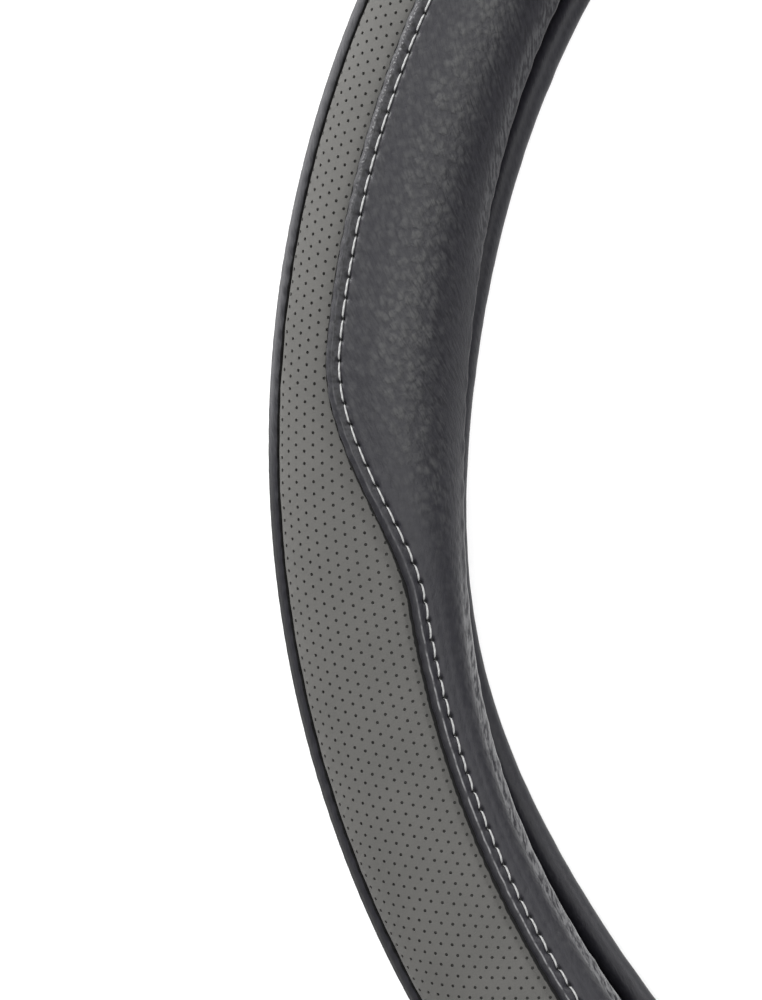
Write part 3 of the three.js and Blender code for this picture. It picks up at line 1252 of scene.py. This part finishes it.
@dataclass
class BackPanel(HalfPiece):
    """Black back panel: the strip outside the outer seam, the back and the back lip."""

    rows: int = 720
    lip_at: float = 45.0 * MM
    steady: float = 27.0 * MM
    turn_in: float = 5.0 * MM
    nose: float = 0.8 * MM
    floor_at: float = 25.5
    floor_half: float = 7.5
    roll_rise: float = 0.16 * MM
    pucker_rise: float = 0.09 * MM
    pucker_pitch: float = 3.3 * MM
    pucker_drift: float = 30.0 * MM
    seam_wave: float = 0.08 * MM
    fine_wrinkle: float = 0.03 * MM
    fine_pitch: float = 2.0 * MM
    broad_wrinkle: float = 0.02 * MM
    broad_pitch: float = 9.0 * MM

    def outline(self) -> Outline:
        """The panel's section, flat.

        Returns:
            The outline, with x falling from the outer seam to the back lip.
        """
        seams = self.seams
        lip, inner = seams.lip_radius, seams.lip_radius - seams.leather
        edge, turned = seams.outer_seam - seams.gap / 2.0, self.turn_in - self.lip_at
        outline = Outline()
        outline.point(edge, -seams.leather, 0.0)
        outline.arc((edge - self.nose, -self.nose), self.nose, 0.0, 80.0, 6, 1.0)
        outline.line(edge - 4.0 * MM, 0.0, 8, 1.0)
        outline.line(-self.steady, 0.0, 18, 1.0)
        outline.line(-self.lip_at, 0.0, 14, 1.0)
        outline.arc((-self.lip_at, -lip), lip, 100.0, 270.0, 13, 1.0)
        outline.line(turned, -2.0 * lip, 3, 0.0)
        outline.line(turned, -lip - inner, 1, 0.0)
        outline.line(-self.lip_at, -lip - inner, 3, 0.0)
        outline.arc((-self.lip_at, -lip), inner, 255.0, 90.0, 6, 0.0)
        outline.line(edge, -seams.leather, 12, 0.0)
        outline.points.pop()
        return outline

    def turned(self, x: Array, lift: Array) -> Array:
        """Distance round the lip's edge and on along the turned-in leather, nought before it.

        Args:
            x: distance across the flat pattern.
            lift: height over the skin's level.

        Returns:
            The distance at each point.
        """
        radius, past = self.seams.lip_radius, x + self.lip_at
        turn = np.mod(np.arctan2(lift + radius, past), FULL_TURN)
        round_edge = radius * np.clip(turn - math.pi / 2.0, 0.0, math.pi)
        inside = np.where(lift < -radius, math.pi * radius + past, 0.0)
        return np.where(past < 0.0, round_edge, inside)

    def darken_seam(self, mesh: Mesh, x: Array) -> None:
        """Gives the faces in the outer seam their own near-black material, painted shade.

        Args:
            mesh: the panel's mesh.
            x: distance across the flat pattern.
        """
        starts = np.empty(len(mesh.polygons), dtype=np.int32)
        mesh.polygons.foreach_get("loop_start", starts)
        lowest = np.minimum.reduceat(x[corner_vertices(mesh)], starts)
        edge = self.seams.outer_seam - self.seams.gap / 2.0
        in_seam = lowest > edge - 0.25 * MM
        mesh.polygons.foreach_set("material_index", in_seam.astype(np.int32))

    def dress(self, mesh: Mesh, x: Array, turned: Array, hooked: Array, angle: Array) -> None:
        """Adds the weights that say where the leather is grained, and where shade and highlights
        are painted on it.

        Args:
            mesh: the panel's mesh.
            x: distance across the flat pattern.
            turned: distance round the lip's edge.
            hooked: which points are on the turned-in leather.
            angle: angle along the ring.
        """
        seam_side = (self.seams.outer_seam - x) / MM
        on_roll = ease((9.0 - seam_side) / 3.0)
        share = np.clip((-self.steady - x) / (self.lip_at - self.steady), 0.0, 1.0)
        # Painted shade: a dark line beside the outer seam, the lower part of the roll, and the
        # turned-in leather behind the back lip.
        seam_line_shade = 0.35 * bell(seam_side, 0.6, 0.6) * (0.5 + 0.5 * ease((angle + 10.0) / 30.0))
        inside = np.where(hooked, ease((x + self.lip_at - 0.4 * MM) / (0.8 * MM)), 0.0)
        low = ease((4.0 - angle) / 8.0)
        below = 0.7 * low * ease((seam_side - 0.6) / 1.0) * on_roll
        # Painted highlights: streaks on the upper roll, and a lit band round the back lip's edge.
        roll = 0.22 * on_roll * ease((angle + 8.0) / 12.0)
        add_weights(
            mesh,
            grain=0.12 + 0.6 * ease((seam_side - 4.0) / 8.0) * (1.0 - ease(share * 1.3)),
            full=np.full_like(x, 0.3),
            shade=np.maximum(np.maximum(seam_line_shade, below), inside),
            gloss=-(0.8 + 2.2 * low) * ease((10.0 - seam_side) / 3.0),
            # Weight of the painted highlights.
            stretch=np.maximum(roll, 0.46 * bell(turned / MM, 2.5, 0.8)),
        )

    def build(self, wardrobe: Wardrobe) -> Object:
        """Builds and dresses the panel.

        Args:
            wardrobe: the materials.

        Returns:
            The panel.
        """
        seams, seed = self.seams, self.hand.seed(41)
        mesh = self.outline().strip(self.rows)
        x, y, lift, skin = flat_points(mesh)
        angle = seams.half_angle(y, self.hand)
        along, lip = seams.along(angle), seams.back_lip(angle)
        past = np.minimum(x + self.lip_at, 0.0)
        share = np.clip((-self.steady - x) / (self.lip_at - self.steady), 0.0, 1.0)
        around = np.where(x > -self.steady, x, -self.steady + share * (lip + self.steady))
        hooked = lift < -seams.lip_radius
        around = np.where(hooked, lip + np.maximum(x + self.lip_at, 0.0), around)
        seam_side = (seams.outer_seam - x) / MM
        spot = along / self.pucker_pitch + 0.35 * ripple(along, seed, self.pucker_drift)
        pucker = np.cos(FULL_TURN * spot)
        height = self.roll_rise * bell(seam_side, 1.5, 1.1)
        height += self.pucker_rise * pucker * bell(seam_side, 0.0, 2.6)
        fine = ripple(along, seed + 5, self.fine_pitch, x, 0.8)
        height += self.fine_wrinkle * fine * np.exp(-seam_side / 6.0)
        broad = ripple(along, seed + 9, self.broad_pitch, x, 1.6)
        height += self.broad_wrinkle * broad * ease((-x / MM - 34.0) / 6.0)
        above_floor = np.abs(x / MM + self.floor_at) > self.floor_half
        lift += np.where((skin > 0.5) & above_floor, height, 0.0)
        around += np.where(skin > 0.5, self.seam_wave * pucker * bell(seam_side, 0.0, 1.2), 0.0)
        self.lay(mesh, around, lift, past, angle)
        turned = self.turned(x, lift)
        across = np.where(turned > 0.0, lip - turned, around)
        add_pattern(mesh, across, along)
        on_roll, near_lip = ease((9.0 - seam_side) / 3.0), ease((-x / MM - 30.0) / 8.0)
        pulled = np.maximum(0.7 * on_roll, 0.3 * near_lip)
        self.add_pull(mesh, across, angle, 0.35 + 0.65 * pulled)
        self.dress(mesh, x, turned, hooked, angle)
        self.darken_seam(mesh, x)
        materials = [wardrobe.black, wardrobe.seam]
        return self.finished(mesh, "back_leather", "back_panel", "black_leather", materials)


@dataclass
class PerforatedPanel(HalfPiece):
    """Grey panel with its punched holes, which stand in staggered columns along the ring."""

    rows: int = 281
    column_pitch: float = 1.65 * MM
    first_column: float = 1.6 * MM
    seam_column: float = 0.35 * MM
    drift_below: float = -0.05 * MM
    drift_above: float = 0.75 * MM
    columns: int = 16
    hole_radius: float = 0.27 * MM
    hole_bevel: float = 0.05 * MM
    hole_depth: float = 0.45 * MM
    ditch: float = 0.6 * MM
    ditch_width: float = 1.15 * MM
    seam_wave: float = 0.05 * MM
    wave_pitch: float = 7.0 * MM
    wave_fade: float = 1.5 * MM
    under_hem: float = 0.12 * MM
    hem_reach: float = 1.6 * MM
    hidden_lap: float = 3.4 * MM

    def column_places(self) -> list[float]:
        """Places of the grid's columns across the panel: two at the seam, then the punched."""
        punched = [self.first_column + i * self.column_pitch for i in range(self.columns)]
        return [0.0, self.seam_column] + punched

    def angle_of(self, y: Array) -> Array:
        """Angle along the ring of a place y on the pattern, in metres from its middle."""
        half = math.pi / 2.0 * self.seams.rim.ring_radius
        return self.seams.half_angle((y / half + 1.0) / 2.0, self.hand)

    def drift(self, y: float) -> float:
        """How far the columns run off from the seam, where the leather was pulled to shape."""
        share = ease((self.angle_of(np.array([y]))[0] - 2.0) / 12.0)
        return float(self.drift_below - (self.drift_below + self.drift_above) * share)

    def lattice(self, half: float, pitch: float) -> bmesh.types.BMesh:
        """The panel's grid of triangles, with a vertex at the place of each hole.

        Args:
            half: half the panel's length.
            pitch: distance from row to row.

        Returns:
            The grid, flat and without thickness.
        """
        places = self.column_places()
        bm = bmesh.new()
        bmesh.ops.create_grid(bm, x_segments=len(places) - 1, y_segments=self.rows, size=0.5)
        for i, vert in enumerate(bm.verts):
            row, column = divmod(i, len(places))
            staggered = column > 1 and column % 2 == 0 and 0 < row < self.rows
            y = row * pitch - half + (0.5 * pitch if staggered else 0.0)
            vert.co = (places[column] + (column > 1) * self.drift(y), y, 0.0)
        bmesh.ops.triangulate(bm, faces=bm.faces, quad_method="SHORT_EDGE")
        return bm

    def punch(self, bm: bmesh.types.BMesh, places: list[bmesh.types.BMVert]) -> None:
        """Sinks a small round hole with a bevelled rim at each of the given vertices.

        Args:
            bm: the panel.
            places: the vertices.
        """
        rims = bmesh.ops.bevel(
            bm,
            geom=places,
            offset=self.hole_radius + self.hole_bevel,
            offset_type="OFFSET",
            affect="VERTICES",
            segments=1,
            profile=0.5,
            material=-1,
        )["faces"]
        for edge in {edge for face in rims for edge in face.edges}:
            edge.smooth = False
        bevel = self.hole_bevel
        bmesh.ops.inset_individual(bm, faces=rims, thickness=bevel, depth=-bevel)
        sunk = bmesh.ops.extrude_discrete_faces(bm, faces=rims)["faces"]
        bottoms = list({vert for face in sunk for vert in face.verts})
        bmesh.ops.translate(bm, verts=bottoms, vec=(0.0, 0.0, -self.hole_depth))
        for face in sunk:
            face.material_index = 1
            for other in [other for edge in face.edges for other in edge.link_faces]:
                other.material_index = 1

    def pattern(self) -> Mesh:
        """The flat panel: a triangle lattice, cut at the lap, thickened and punched.

        Returns:
            The mesh, with x from the outer seam and y from the panel's middle.
        """
        seams = self.seams
        half = math.pi / 2.0 * seams.rim.ring_radius
        pitch = 2.0 * half / self.rows
        bm = self.lattice(half, pitch)
        start = seams.outer_seam + seams.gap / 2.0
        angles = self.angle_of(np.array([vert.co.y for vert in bm.verts]))
        limit = dict(zip(bm.verts, seams.fold(angles) - start))
        cut = [vert for vert in bm.verts if vert.co.x > limit[vert] + self.hidden_lap]
        punched = [
            vert
            for vert in bm.verts
            if 0.6 * MM < vert.co.x < limit[vert] + 0.5 * MM and abs(vert.co.y) < half - pitch
        ]
        bmesh.ops.delete(bm, geom=cut, context="VERTS")
        made = bmesh.ops.extrude_face_region(bm, geom=bm.faces[:])["geom"]
        lowered = [item for item in made if isinstance(item, bmesh.types.BMVert)]
        bmesh.ops.translate(bm, verts=lowered, vec=(0.0, 0.0, -seams.leather))
        bmesh.ops.recalc_face_normals(bm, faces=bm.faces)
        self.punch(bm, punched)
        bmesh.ops.triangulate(bm, faces=[face for face in bm.faces if len(face.verts) > 4])
        return finished_mesh(bm)

    def relief(self, around: Array, angle: Array) -> Array:
        """Height of the skin, which dips into the seam and under the hem.

        Args:
            around: way round the section.
            angle: angle along the ring.

        Returns:
            The height at each point.
        """
        seams = self.seams
        x = around - seams.outer_seam - seams.gap / 2.0
        dip = self.ditch * np.clip(1.0 - x / self.ditch_width, 0.0, 1.0) ** 2
        wave = ripple(seams.along(angle), self.hand.seed(51), self.wave_pitch)
        wave = self.seam_wave * wave * np.exp(-x / self.wave_fade)
        hem_side = (around - seams.fold(angle)) / self.hem_reach
        return wave - dip - self.under_hem * ease(hem_side + 1.0)

    def facing(self, around: Array, angle: Array) -> Array:
        """The skin's true normals, from the slopes of the laid surface.

        Args:
            around: way round the section.
            angle: angle along the ring.

        Returns:
            A normal for each point.
        """
        sides = []
        for step, turn in ((0.05 * MM, 0.0), (0.0, 0.02)):
            ends = []
            for sign in (-1.0, 1.0):
                a, b = around + sign * step, angle + sign * turn
                flat = np.zeros_like(a)
                ends.append(self.seams.rim.lay(a, self.relief(a, b), flat, b, self.hand))
            sides.append(ends[1] - ends[0])
        normal = np.cross(sides[0], sides[1]) * self.hand.value
        return normal / np.linalg.norm(normal, axis=1, keepdims=True)

    def set_facing(self, mesh: Mesh, upper: Array, normals: Array) -> None:
        """Gives the flat skin its true normals, so that the holes leave no dents in its shading.

        Args:
            mesh: the laid panel.
            upper: which vertices are on the skin.
            normals: a normal for each vertex.
        """
        corners = corner_vertices(mesh)
        made = np.empty(len(corners) * 3)
        mesh.corner_normals.foreach_get("vector", made)
        made = made.reshape(-1, 3)
        true = normals[corners]
        nearly_flat = 0.93
        flat = upper[corners] & (np.sum(made * true, axis=1) > nearly_flat)
        made[flat] = true[flat]
        mesh.normals_split_custom_set(made)

    def build(self, wardrobe: Wardrobe) -> Object:
        """Builds and dresses the panel.

        Args:
            wardrobe: the materials.

        Returns:
            The panel.
        """
        seams = self.seams
        mesh = self.pattern()
        x, y, lift, _ = flat_points(mesh)
        angle = self.angle_of(y)
        around = seams.outer_seam + seams.gap / 2.0 + x
        skin = lift > -0.02 * MM
        lift += np.where(lift > -seams.leather / 2.0, self.relief(around, angle), 0.0)
        self.lay(mesh, around, lift, np.zeros_like(x), angle)
        self.set_facing(mesh, skin, self.facing(around, angle))
        add_pattern(mesh, around, seams.along(angle))
        add_pattern(mesh, seams.fold(angle) - around, x, "seams")
        materials = [wardrobe.grey, wardrobe.hole]
        return self.finished(mesh, "grey_leather", "perforated_panel", "grey_leather", materials)


@dataclass
class Topstitch(HalfPiece):
    """The row of stitches along the hem, each one a short arched length of thread."""

    thread: float = 0.31 * MM
    sides: int = 6
    steps: int = 8
    ply_depth: float = 0.10
    visible_share: float = 0.98
    uneven_share: float = 0.03
    dive: float = 0.7 * MM
    lean: float = 0.16 * MM
    curl: float = 0.17 * MM
    sink: float = 0.06 * MM
    play_across: float = 0.04 * MM
    play_up: float = 0.03 * MM

    def pattern(self) -> Mesh:
        """All the stitches, flat, with y counted in stitches and x and height in metres.

        Returns:
            The mesh.
        """
        bm = bmesh.new()
        bmesh.ops.create_grid(bm, x_segments=self.sides, y_segments=self.steps, size=0.5)
        for vert in bm.verts:
            turn, share = FULL_TURN * (vert.co.x + 0.5), vert.co.y + 0.5
            round_end = math.sqrt(max(0.0, 1.0 - abs(2.0 * share - 1.0) ** 3.5))
            plies = 1.0 + self.ply_depth * math.cos(3.0 * (turn + share * 5.0))
            radius = self.thread / 2.0 * plies * round_end
            vert.co = (radius * math.cos(turn), share, radius * math.sin(turn))
        bmesh.ops.remove_doubles(bm, verts=bm.verts, dist=MERGE)
        bmesh.ops.recalc_face_normals(bm, faces=bm.faces)
        stitch = bm.verts[:] + bm.edges[:] + bm.faces[:]
        for i in range(1, self.seams.stitches_per_half):
            copied = bmesh.ops.duplicate(bm, geom=stitch)["geom"]
            verts = [item for item in copied if isinstance(item, bmesh.types.BMVert)]
            bmesh.ops.translate(bm, verts=verts, vec=(0.0, float(i), 0.0))
        return finished_mesh(bm)

    def build(self, wardrobe: Wardrobe) -> Object:
        """Builds and dresses the stitches.

        Args:
            wardrobe: the materials.

        Returns:
            The stitches, as one piece.
        """
        seams, side = self.seams, self.hand.value
        count = seams.stitches_per_half
        mesh = self.pattern()
        x, y, lift, _ = flat_points(mesh)
        number = np.clip(np.floor(y + MERGE), 0, count - 1).astype(int)
        rng = np.random.default_rng(self.hand.seed(61))
        jitter = rng.uniform(-1.0, 1.0, (count, 3))[number]
        off = y - number - 0.5
        spot = number + 0.5 + off * (self.visible_share + self.uneven_share * jitter[:, 0])
        angle = -side * (spot - count / 2.0) * seams.stitch_angle
        wide = seams.wide(angle)
        swing = -side * off * self.lean * (1.4 - wide)
        curl = self.curl * (1.0 - wide) * (0.5 - (2.0 * off) ** 2)
        centre = seams.stitch_inset + swing + curl + self.play_across * jitter[:, 1]
        around = seams.fold(angle) + centre * seams.stretch(angle) + x
        top = seams.hem_top - self.sink + self.play_up * jitter[:, 2]
        height = top - self.dive * np.abs(2.0 * off) ** 6 + lift
        self.lay(mesh, around, height, np.zeros_like(x), angle)
        add_pattern(mesh, np.arctan2(lift, x) * self.thread / 2.0, seams.along(angle))
        return self.finished(mesh, "stitches", "topstitch", "thread", [wardrobe.thread])


@dataclass
class GripRing:
    """Moulded rubber ring inside the leather, ribbed where it grips the rim."""

    seams: Seams
    rows: int = 360
    lip_at: float = 45.0 * MM
    steady: float = 27.0 * MM
    plain_lip: float = 6.0 * MM
    rib_pitch: float = 3.0 * MM
    rib_height: float = 0.35 * MM

    def outline(self) -> Outline:
        """The ring's section, flat, from the front lip to the back lip and back inside.

        Returns:
            The outline, whose skin weight marks the ribbed inside.
        """
        middle, half = -self.seams.lip_radius, self.seams.core_wall / 2.0
        outline = Outline()
        outline.point(self.lip_at, middle + half, 0.0)
        outline.line(-self.lip_at, middle + half, 22, 0.0)
        outline.arc((-self.lip_at, middle), half, 120.0, 240.0, 4, 0.0)
        outline.line(self.plain_lip - self.lip_at, middle - half, 2, 0.0)
        outline.line(self.lip_at - self.plain_lip, middle - half, 104, 1.0)
        outline.line(self.lip_at, middle - half, 2, 0.0)
        outline.arc((self.lip_at, middle), half, -60.0, 60.0, 4, 0.0)
        return outline

    def join_ends(self, mesh: Mesh) -> None:
        """Takes out the strip's two end faces and joins its ends into a ring.

        Args:
            mesh: the laid ring.
        """
        bm = bmesh.new()
        bm.from_mesh(mesh)
        ends = [face for face in bm.faces if len(face.verts) > 4]
        bmesh.ops.delete(bm, geom=ends, context="FACES_ONLY")
        bmesh.ops.remove_doubles(bm, verts=bm.verts, dist=MERGE)
        bm.to_mesh(mesh)
        bm.free()

    def build(self, wardrobe: Wardrobe) -> Object:
        """Builds and dresses the ring.

        Args:
            wardrobe: the materials.

        Returns:
            The ring.
        """
        seams = self.seams
        mesh = self.outline().strip(self.rows)
        x, y, lift, skin = flat_points(mesh)
        whole = 360.0 * y - 180.0
        level = np.degrees(np.arcsin(np.clip(np.sin(np.radians(whole)), -1.0, 1.0)))
        past = np.sign(x) * np.maximum(np.abs(x) - self.lip_at, 0.0)
        share = np.clip((np.abs(x) - self.steady) / (self.lip_at - self.steady), 0.0, 1.0)
        reach = np.where(x > 0.0, seams.front_lip(level), -seams.back_lip(level))
        outer = np.sign(x) * (self.steady + share * (reach - self.steady))
        around = np.where(np.abs(x) > self.steady, outer, x)
        ribs = 0.5 + 0.5 * np.cos(FULL_TURN * x / self.rib_pitch)
        lift = lift - self.rib_height * skin * ribs**2
        HalfPiece(seams, Hand.LEFT).lay(mesh, around, lift, past, whole)
        add_pattern(mesh, around, seams.along(whole))
        self.join_ends(mesh)
        return placed(mesh, "rubber_ring", "grip_ring", [wardrobe.rubber])


@dataclass(frozen=True)
class SoftLight:
    """One studio light: a large panel that looks at the object."""

    name: str
    place: tuple[float, float, float]
    aim: tuple[float, float, float]
    side: float
    watts: float

    def build(self) -> None:
        """Puts the light in the scene."""
        data = bpy.data.lights.new(self.name, "AREA")
        data.shape = "SQUARE"
        data.size = self.side
        data.energy = self.watts
        lamp = bpy.data.objects.new(self.name, data)
        bpy.context.scene.collection.objects.link(lamp)
        lamp.location = self.place
        back = Vector(self.place) - Vector(self.aim)
        lamp.rotation_euler = back.to_track_quat("Z", "Y").to_euler()
        lamp.visible_camera = False


@dataclass
class Studio:
    """Pale floor, soft light and the camera."""

    floor_size: float = 8.0
    floor_gap: float = 0.1 * MM
    camera_height: float = 1.015
    camera_yaw: float = 9.725
    camera_pitch: float = -0.516
    focal_pixels: float = 6097.0
    frame_height: float = 1000.0
    sensor: float = 36.0
    surround: float = 0.24

    def camera(self) -> None:
        """The camera over the ring's centre, turned a little towards 9 o'clock."""
        data = bpy.data.cameras.new("photo_camera")
        data.sensor_width = self.sensor
        data.lens = self.focal_pixels * self.sensor / self.frame_height
        data.clip_start = 0.01
        view = bpy.data.objects.new("photo_camera", data)
        view.location = (0.0, 0.0, self.camera_height)
        view.rotation_euler = (math.radians(self.camera_pitch), math.radians(self.camera_yaw), 0.0)
        bpy.context.scene.collection.objects.link(view)
        bpy.context.scene.camera = view

    def floor(self) -> None:
        """A plain white floor just under the cover."""
        bm = bmesh.new()
        bmesh.ops.create_grid(bm, x_segments=1, y_segments=1, size=self.floor_size / 2.0)
        bmesh.ops.translate(bm, verts=bm.verts, vec=(0.0, 0.0, -self.floor_gap))
        mesh = finished_mesh(bm)
        paint = Surface("floor_paint", Base_Color=(0.96, 0.96, 0.96, 1.0), Roughness=0.9)
        mesh.materials.append(paint.material)
        plane = bpy.data.objects.new("floor", mesh)
        bpy.context.scene.collection.objects.link(plane)

    def light(self) -> None:
        """A key from the left, a wide light overhead, a kicker and a pale surround."""
        SoftLight("key", (-1.2, 0.72, 0.45), (0.0, -0.02, 0.0), 0.6, 36.5).build()
        SoftLight("overhead", (0.3, 0.0, 2.2), (0.0, 0.0, 0.0), 2.2, 73.0).build()
        SoftLight("kicker", (0.9, 1.15, 0.75), (0.0, 0.0, 0.0), 0.3, 20.0).build()
        world = bpy.data.worlds.new("surround")
        world.use_nodes = True
        background = world.node_tree.nodes["Background"]
        background.inputs["Color"].default_value = (1.0, 1.0, 1.0, 1.0)
        background.inputs["Strength"].default_value = self.surround
        bpy.context.scene.world = world

    def build(self) -> None:
        """Sets up everything round the cover."""
        bpy.context.scene.view_settings.view_transform = "Standard"
        self.camera()
        self.floor()
        self.light()


def main() -> None:
    """Builds the studio and the cover, piece by piece."""
    logging.basicConfig(level=logging.INFO, format="%(name)s: %(message)s")
    Studio().build()
    wardrobe = Wardrobe()
    seams = Seams(Rim())
    GripRing(seams).build(wardrobe)
    for hand in Hand:
        for piece in (BackPanel, PerforatedPanel, FrontPanel, Topstitch):
            piece(seams, hand).build(wardrobe)


if __name__ == "__main__":
    main()
